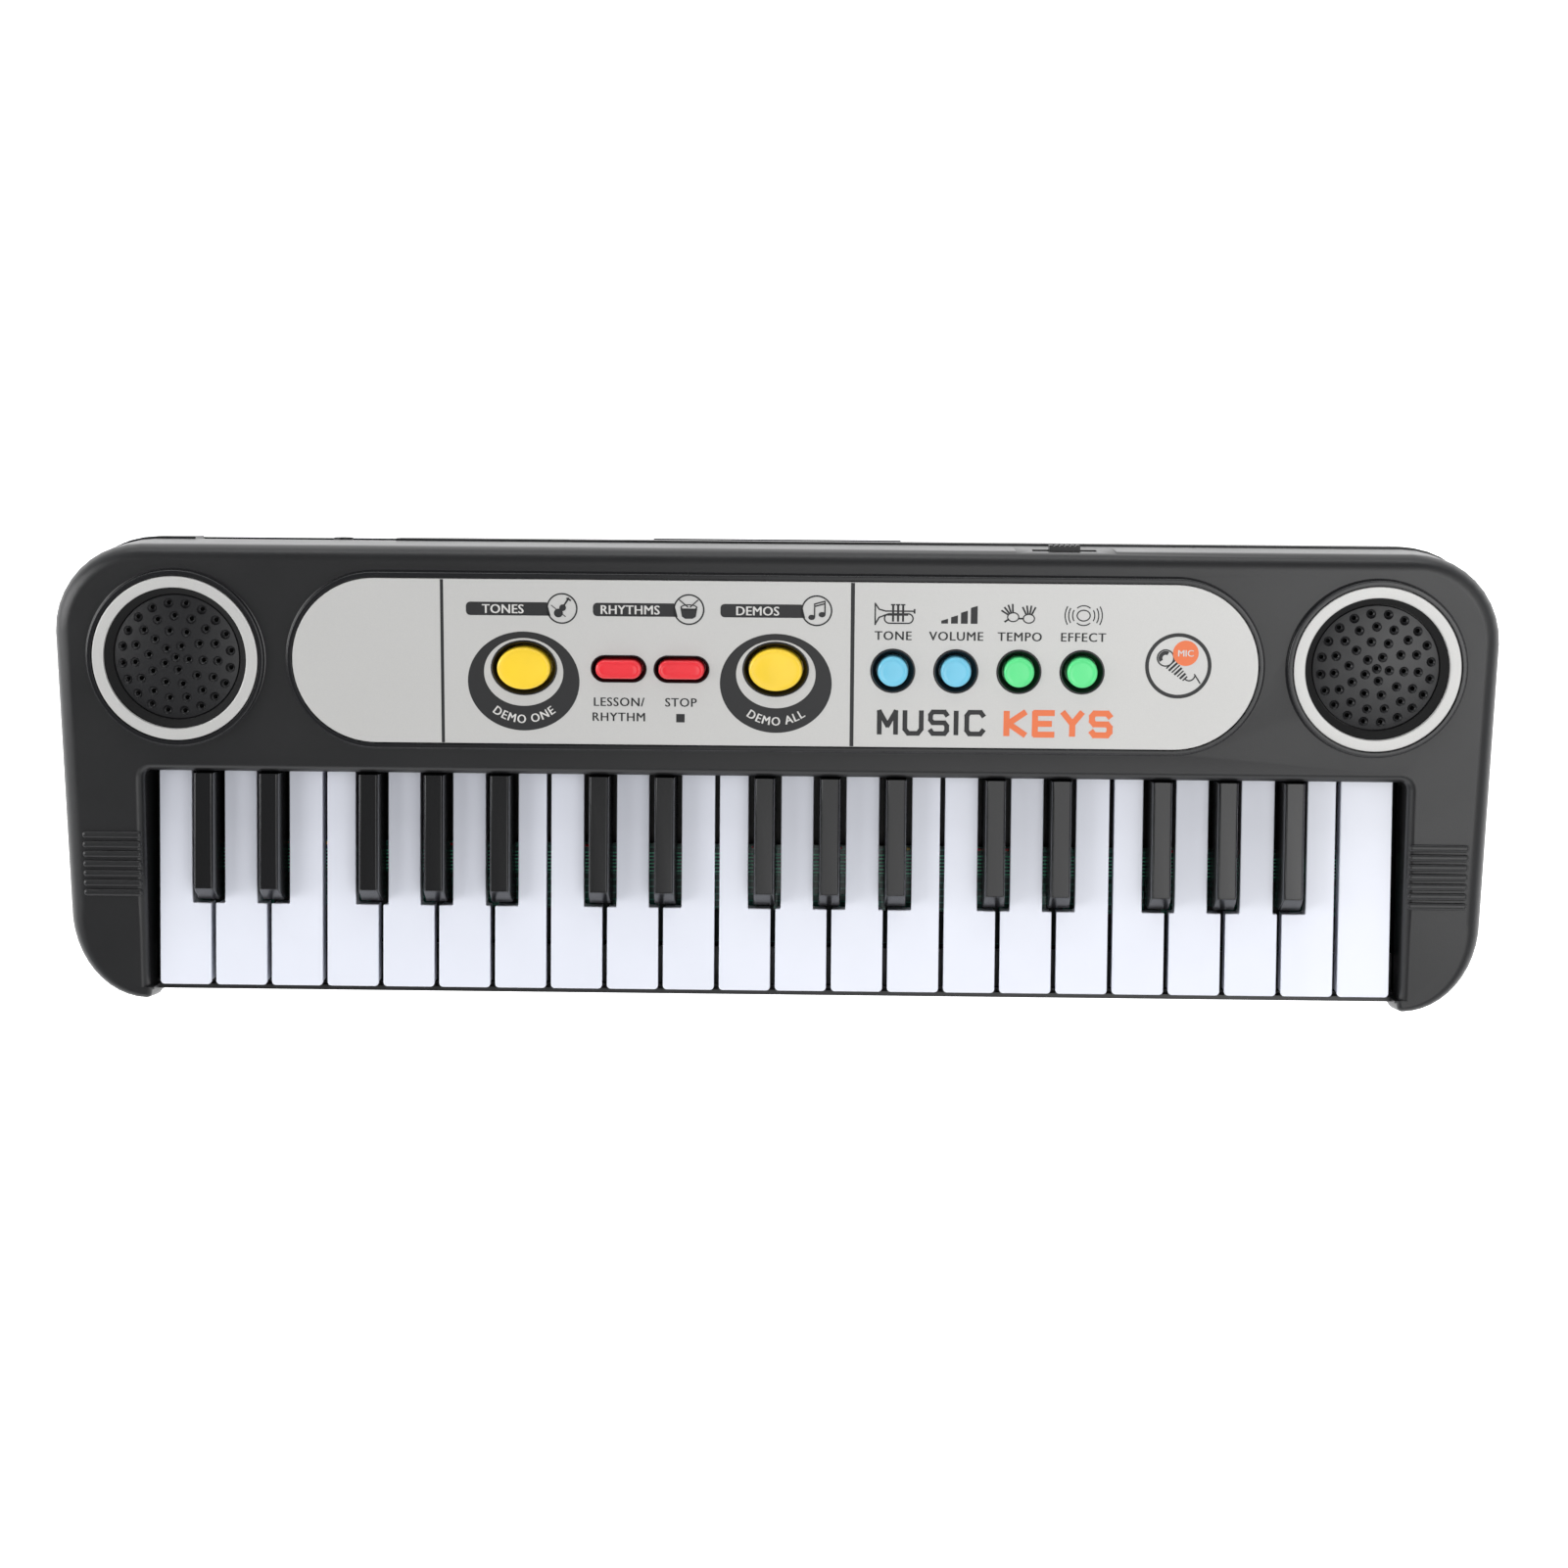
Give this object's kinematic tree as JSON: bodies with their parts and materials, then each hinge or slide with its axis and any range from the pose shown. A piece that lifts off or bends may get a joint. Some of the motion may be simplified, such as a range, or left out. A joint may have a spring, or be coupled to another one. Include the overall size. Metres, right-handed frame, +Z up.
{
  "type": "toy electronic keyboard",
  "caption": "Small toy electronic keyboard: sprung white and black keys, a raised silver panel with press buttons, round speaker grilles, rear slide switch and battery bay.",
  "frame": {"origin": "on the table, under the middle of the overall box", "axes": "+X to the player's right, along the keys; +Y to the rear, away from the player; +Z up"},
  "size_m": [0.41, 0.134, 0.0402],
  "materials": {
    "casing_plastic": "dark grey, fine satin",
    "grille_plastic": "black, satin",
    "key_white_plastic": "white, glossy",
    "key_black_plastic": "black, glossy",
    "silver_panel": "silver-grey print, satin",
    "yellow_plastic": "yellow, satin",
    "red_plastic": "red, satin",
    "blue_plastic": "light blue, satin",
    "green_plastic": "green, satin",
    "circuit_board": "green solder mask",
    "contact_rubber": "black silicone",
    "speaker_steel": "plated",
    "switch_plastic": "black"
  },
  "bodies": {
    "casing": {"upper_casing": "casing_plastic", "lower_casing": "casing_plastic", "control_panel": "silver_panel", "speaker_ring_left": "silver_panel", "speaker_ring_right": "silver_panel", "speaker_grille_left": "grille_plastic", "speaker_grille_right": "grille_plastic", "speaker_driver_left": "speaker_steel", "speaker_driver_right": "speaker_steel", "main_circuit_board": "circuit_board", "key_circuit_board": "circuit_board", "key_contact_strip": "contact_rubber", "key_pivot_rail": "casing_plastic"},
    "white_key_01": {"white_key_01": "key_white_plastic"},
    "white_key_02": {"white_key_02": "key_white_plastic"},
    "white_key_03": {"white_key_03": "key_white_plastic"},
    "white_key_04": {"white_key_04": "key_white_plastic"},
    "white_key_05": {"white_key_05": "key_white_plastic"},
    "white_key_06": {"white_key_06": "key_white_plastic"},
    "white_key_07": {"white_key_07": "key_white_plastic"},
    "white_key_08": {"white_key_08": "key_white_plastic"},
    "white_key_09": {"white_key_09": "key_white_plastic"},
    "white_key_10": {"white_key_10": "key_white_plastic"},
    "white_key_11": {"white_key_11": "key_white_plastic"},
    "white_key_12": {"white_key_12": "key_white_plastic"},
    "white_key_13": {"white_key_13": "key_white_plastic"},
    "white_key_14": {"white_key_14": "key_white_plastic"},
    "white_key_15": {"white_key_15": "key_white_plastic"},
    "white_key_16": {"white_key_16": "key_white_plastic"},
    "white_key_17": {"white_key_17": "key_white_plastic"},
    "white_key_18": {"white_key_18": "key_white_plastic"},
    "white_key_19": {"white_key_19": "key_white_plastic"},
    "white_key_20": {"white_key_20": "key_white_plastic"},
    "white_key_21": {"white_key_21": "key_white_plastic"},
    "white_key_22": {"white_key_22": "key_white_plastic"},
    "black_key_01": {"black_key_01": "key_black_plastic"},
    "black_key_02": {"black_key_02": "key_black_plastic"},
    "black_key_03": {"black_key_03": "key_black_plastic"},
    "black_key_04": {"black_key_04": "key_black_plastic"},
    "black_key_05": {"black_key_05": "key_black_plastic"},
    "black_key_06": {"black_key_06": "key_black_plastic"},
    "black_key_07": {"black_key_07": "key_black_plastic"},
    "black_key_08": {"black_key_08": "key_black_plastic"},
    "black_key_09": {"black_key_09": "key_black_plastic"},
    "black_key_10": {"black_key_10": "key_black_plastic"},
    "black_key_11": {"black_key_11": "key_black_plastic"},
    "black_key_12": {"black_key_12": "key_black_plastic"},
    "black_key_13": {"black_key_13": "key_black_plastic"},
    "black_key_14": {"black_key_14": "key_black_plastic"},
    "black_key_15": {"black_key_15": "key_black_plastic"},
    "demo_one_button": {"demo_one_button": "yellow_plastic"},
    "demo_all_button": {"demo_all_button": "yellow_plastic"},
    "lesson_button": {"lesson_button": "red_plastic"},
    "stop_button": {"stop_button": "red_plastic"},
    "tone_button": {"tone_button": "blue_plastic"},
    "volume_button": {"volume_button": "blue_plastic"},
    "tempo_button": {"tempo_button": "green_plastic"},
    "effect_button": {"effect_button": "green_plastic"},
    "power_switch_knob": {"power_switch_knob": "switch_plastic"},
    "battery_door": {"battery_door": "casing_plastic"}
  },
  "joints": [
    {"name": "white_key_01_hinge", "type": "hinge", "parent": "casing", "child": "white_key_01", "pos_m": [0, 0.0065, 0.0208], "axis": [1, 0, 0], "range_deg": [0, 3], "stiffness_Nm_per_rad": 0.4, "springref_deg": -2.86},
    {"name": "white_key_02_hinge", "type": "hinge", "parent": "casing", "child": "white_key_02", "pos_m": [0, 0.0065, 0.0208], "axis": [1, 0, 0], "range_deg": [0, 3], "stiffness_Nm_per_rad": 0.4, "springref_deg": -2.86},
    {"name": "white_key_03_hinge", "type": "hinge", "parent": "casing", "child": "white_key_03", "pos_m": [0, 0.0065, 0.0208], "axis": [1, 0, 0], "range_deg": [0, 3], "stiffness_Nm_per_rad": 0.4, "springref_deg": -2.86},
    {"name": "white_key_04_hinge", "type": "hinge", "parent": "casing", "child": "white_key_04", "pos_m": [0, 0.0065, 0.0208], "axis": [1, 0, 0], "range_deg": [0, 3], "stiffness_Nm_per_rad": 0.4, "springref_deg": -2.86},
    {"name": "white_key_05_hinge", "type": "hinge", "parent": "casing", "child": "white_key_05", "pos_m": [0, 0.0065, 0.0208], "axis": [1, 0, 0], "range_deg": [0, 3], "stiffness_Nm_per_rad": 0.4, "springref_deg": -2.86},
    {"name": "white_key_06_hinge", "type": "hinge", "parent": "casing", "child": "white_key_06", "pos_m": [0, 0.0065, 0.0208], "axis": [1, 0, 0], "range_deg": [0, 3], "stiffness_Nm_per_rad": 0.4, "springref_deg": -2.86},
    {"name": "white_key_07_hinge", "type": "hinge", "parent": "casing", "child": "white_key_07", "pos_m": [0, 0.0065, 0.0208], "axis": [1, 0, 0], "range_deg": [0, 3], "stiffness_Nm_per_rad": 0.4, "springref_deg": -2.86},
    {"name": "white_key_08_hinge", "type": "hinge", "parent": "casing", "child": "white_key_08", "pos_m": [0, 0.0065, 0.0208], "axis": [1, 0, 0], "range_deg": [0, 3], "stiffness_Nm_per_rad": 0.4, "springref_deg": -2.86},
    {"name": "white_key_09_hinge", "type": "hinge", "parent": "casing", "child": "white_key_09", "pos_m": [0, 0.0065, 0.0208], "axis": [1, 0, 0], "range_deg": [0, 3], "stiffness_Nm_per_rad": 0.4, "springref_deg": -2.86},
    {"name": "white_key_10_hinge", "type": "hinge", "parent": "casing", "child": "white_key_10", "pos_m": [0, 0.0065, 0.0208], "axis": [1, 0, 0], "range_deg": [0, 3], "stiffness_Nm_per_rad": 0.4, "springref_deg": -2.86},
    {"name": "white_key_11_hinge", "type": "hinge", "parent": "casing", "child": "white_key_11", "pos_m": [0, 0.0065, 0.0208], "axis": [1, 0, 0], "range_deg": [0, 3], "stiffness_Nm_per_rad": 0.4, "springref_deg": -2.86},
    {"name": "white_key_12_hinge", "type": "hinge", "parent": "casing", "child": "white_key_12", "pos_m": [0, 0.0065, 0.0208], "axis": [1, 0, 0], "range_deg": [0, 3], "stiffness_Nm_per_rad": 0.4, "springref_deg": -2.86},
    {"name": "white_key_13_hinge", "type": "hinge", "parent": "casing", "child": "white_key_13", "pos_m": [0, 0.0065, 0.0208], "axis": [1, 0, 0], "range_deg": [0, 3], "stiffness_Nm_per_rad": 0.4, "springref_deg": -2.86},
    {"name": "white_key_14_hinge", "type": "hinge", "parent": "casing", "child": "white_key_14", "pos_m": [0, 0.0065, 0.0208], "axis": [1, 0, 0], "range_deg": [0, 3], "stiffness_Nm_per_rad": 0.4, "springref_deg": -2.86},
    {"name": "white_key_15_hinge", "type": "hinge", "parent": "casing", "child": "white_key_15", "pos_m": [0, 0.0065, 0.0208], "axis": [1, 0, 0], "range_deg": [0, 3], "stiffness_Nm_per_rad": 0.4, "springref_deg": -2.86},
    {"name": "white_key_16_hinge", "type": "hinge", "parent": "casing", "child": "white_key_16", "pos_m": [0, 0.0065, 0.0208], "axis": [1, 0, 0], "range_deg": [0, 3], "stiffness_Nm_per_rad": 0.4, "springref_deg": -2.86},
    {"name": "white_key_17_hinge", "type": "hinge", "parent": "casing", "child": "white_key_17", "pos_m": [0, 0.0065, 0.0208], "axis": [1, 0, 0], "range_deg": [0, 3], "stiffness_Nm_per_rad": 0.4, "springref_deg": -2.86},
    {"name": "white_key_18_hinge", "type": "hinge", "parent": "casing", "child": "white_key_18", "pos_m": [0, 0.0065, 0.0208], "axis": [1, 0, 0], "range_deg": [0, 3], "stiffness_Nm_per_rad": 0.4, "springref_deg": -2.86},
    {"name": "white_key_19_hinge", "type": "hinge", "parent": "casing", "child": "white_key_19", "pos_m": [0, 0.0065, 0.0208], "axis": [1, 0, 0], "range_deg": [0, 3], "stiffness_Nm_per_rad": 0.4, "springref_deg": -2.86},
    {"name": "white_key_20_hinge", "type": "hinge", "parent": "casing", "child": "white_key_20", "pos_m": [0, 0.0065, 0.0208], "axis": [1, 0, 0], "range_deg": [0, 3], "stiffness_Nm_per_rad": 0.4, "springref_deg": -2.86},
    {"name": "white_key_21_hinge", "type": "hinge", "parent": "casing", "child": "white_key_21", "pos_m": [0, 0.0065, 0.0208], "axis": [1, 0, 0], "range_deg": [0, 3], "stiffness_Nm_per_rad": 0.4, "springref_deg": -2.86},
    {"name": "white_key_22_hinge", "type": "hinge", "parent": "casing", "child": "white_key_22", "pos_m": [0, 0.0065, 0.0208], "axis": [1, 0, 0], "range_deg": [0, 3], "stiffness_Nm_per_rad": 0.4, "springref_deg": -2.86},
    {"name": "black_key_01_hinge", "type": "hinge", "parent": "casing", "child": "black_key_01", "pos_m": [0, 0.0065, 0.0208], "axis": [1, 0, 0], "range_deg": [0, 3], "stiffness_Nm_per_rad": 0.4, "springref_deg": -2.86},
    {"name": "black_key_02_hinge", "type": "hinge", "parent": "casing", "child": "black_key_02", "pos_m": [0, 0.0065, 0.0208], "axis": [1, 0, 0], "range_deg": [0, 3], "stiffness_Nm_per_rad": 0.4, "springref_deg": -2.86},
    {"name": "black_key_03_hinge", "type": "hinge", "parent": "casing", "child": "black_key_03", "pos_m": [0, 0.0065, 0.0208], "axis": [1, 0, 0], "range_deg": [0, 3], "stiffness_Nm_per_rad": 0.4, "springref_deg": -2.86},
    {"name": "black_key_04_hinge", "type": "hinge", "parent": "casing", "child": "black_key_04", "pos_m": [0, 0.0065, 0.0208], "axis": [1, 0, 0], "range_deg": [0, 3], "stiffness_Nm_per_rad": 0.4, "springref_deg": -2.86},
    {"name": "black_key_05_hinge", "type": "hinge", "parent": "casing", "child": "black_key_05", "pos_m": [0, 0.0065, 0.0208], "axis": [1, 0, 0], "range_deg": [0, 3], "stiffness_Nm_per_rad": 0.4, "springref_deg": -2.86},
    {"name": "black_key_06_hinge", "type": "hinge", "parent": "casing", "child": "black_key_06", "pos_m": [0, 0.0065, 0.0208], "axis": [1, 0, 0], "range_deg": [0, 3], "stiffness_Nm_per_rad": 0.4, "springref_deg": -2.86},
    {"name": "black_key_07_hinge", "type": "hinge", "parent": "casing", "child": "black_key_07", "pos_m": [0, 0.0065, 0.0208], "axis": [1, 0, 0], "range_deg": [0, 3], "stiffness_Nm_per_rad": 0.4, "springref_deg": -2.86},
    {"name": "black_key_08_hinge", "type": "hinge", "parent": "casing", "child": "black_key_08", "pos_m": [0, 0.0065, 0.0208], "axis": [1, 0, 0], "range_deg": [0, 3], "stiffness_Nm_per_rad": 0.4, "springref_deg": -2.86},
    {"name": "black_key_09_hinge", "type": "hinge", "parent": "casing", "child": "black_key_09", "pos_m": [0, 0.0065, 0.0208], "axis": [1, 0, 0], "range_deg": [0, 3], "stiffness_Nm_per_rad": 0.4, "springref_deg": -2.86},
    {"name": "black_key_10_hinge", "type": "hinge", "parent": "casing", "child": "black_key_10", "pos_m": [0, 0.0065, 0.0208], "axis": [1, 0, 0], "range_deg": [0, 3], "stiffness_Nm_per_rad": 0.4, "springref_deg": -2.86},
    {"name": "black_key_11_hinge", "type": "hinge", "parent": "casing", "child": "black_key_11", "pos_m": [0, 0.0065, 0.0208], "axis": [1, 0, 0], "range_deg": [0, 3], "stiffness_Nm_per_rad": 0.4, "springref_deg": -2.86},
    {"name": "black_key_12_hinge", "type": "hinge", "parent": "casing", "child": "black_key_12", "pos_m": [0, 0.0065, 0.0208], "axis": [1, 0, 0], "range_deg": [0, 3], "stiffness_Nm_per_rad": 0.4, "springref_deg": -2.86},
    {"name": "black_key_13_hinge", "type": "hinge", "parent": "casing", "child": "black_key_13", "pos_m": [0, 0.0065, 0.0208], "axis": [1, 0, 0], "range_deg": [0, 3], "stiffness_Nm_per_rad": 0.4, "springref_deg": -2.86},
    {"name": "black_key_14_hinge", "type": "hinge", "parent": "casing", "child": "black_key_14", "pos_m": [0, 0.0065, 0.0208], "axis": [1, 0, 0], "range_deg": [0, 3], "stiffness_Nm_per_rad": 0.4, "springref_deg": -2.86},
    {"name": "black_key_15_hinge", "type": "hinge", "parent": "casing", "child": "black_key_15", "pos_m": [0, 0.0065, 0.0208], "axis": [1, 0, 0], "range_deg": [0, 3], "stiffness_Nm_per_rad": 0.4, "springref_deg": -2.86},
    {"name": "demo_one_button_press", "type": "slide", "parent": "casing", "child": "demo_one_button", "axis": [0, 0.0976, -0.9952], "range_m": [0, 0.0012], "stiffness_N_per_m": 300, "springref_m": -0.001},
    {"name": "demo_all_button_press", "type": "slide", "parent": "casing", "child": "demo_all_button", "axis": [0, 0.0976, -0.9952], "range_m": [0, 0.0012], "stiffness_N_per_m": 300, "springref_m": -0.001},
    {"name": "lesson_button_press", "type": "slide", "parent": "casing", "child": "lesson_button", "axis": [0, 0.0976, -0.9952], "range_m": [0, 0.0012], "stiffness_N_per_m": 300, "springref_m": -0.001},
    {"name": "stop_button_press", "type": "slide", "parent": "casing", "child": "stop_button", "axis": [0, 0.0976, -0.9952], "range_m": [0, 0.0012], "stiffness_N_per_m": 300, "springref_m": -0.001},
    {"name": "tone_button_press", "type": "slide", "parent": "casing", "child": "tone_button", "axis": [0, 0.0976, -0.9952], "range_m": [0, 0.0012], "stiffness_N_per_m": 300, "springref_m": -0.001},
    {"name": "volume_button_press", "type": "slide", "parent": "casing", "child": "volume_button", "axis": [0, 0.0976, -0.9952], "range_m": [0, 0.0012], "stiffness_N_per_m": 300, "springref_m": -0.001},
    {"name": "tempo_button_press", "type": "slide", "parent": "casing", "child": "tempo_button", "axis": [0, 0.0976, -0.9952], "range_m": [0, 0.0012], "stiffness_N_per_m": 300, "springref_m": -0.001},
    {"name": "effect_button_press", "type": "slide", "parent": "casing", "child": "effect_button", "axis": [0, 0.0976, -0.9952], "range_m": [0, 0.0012], "stiffness_N_per_m": 300, "springref_m": -0.001},
    {"name": "power_switch_slide", "type": "slide", "parent": "casing", "child": "power_switch_knob", "axis": [1, 0, 0], "range_m": [-0.004, 0.004]},
    {"name": "battery_door_pull", "type": "slide", "parent": "casing", "child": "battery_door", "axis": [0, 0, -1], "range_m": [0, 0.02]}
  ]
}
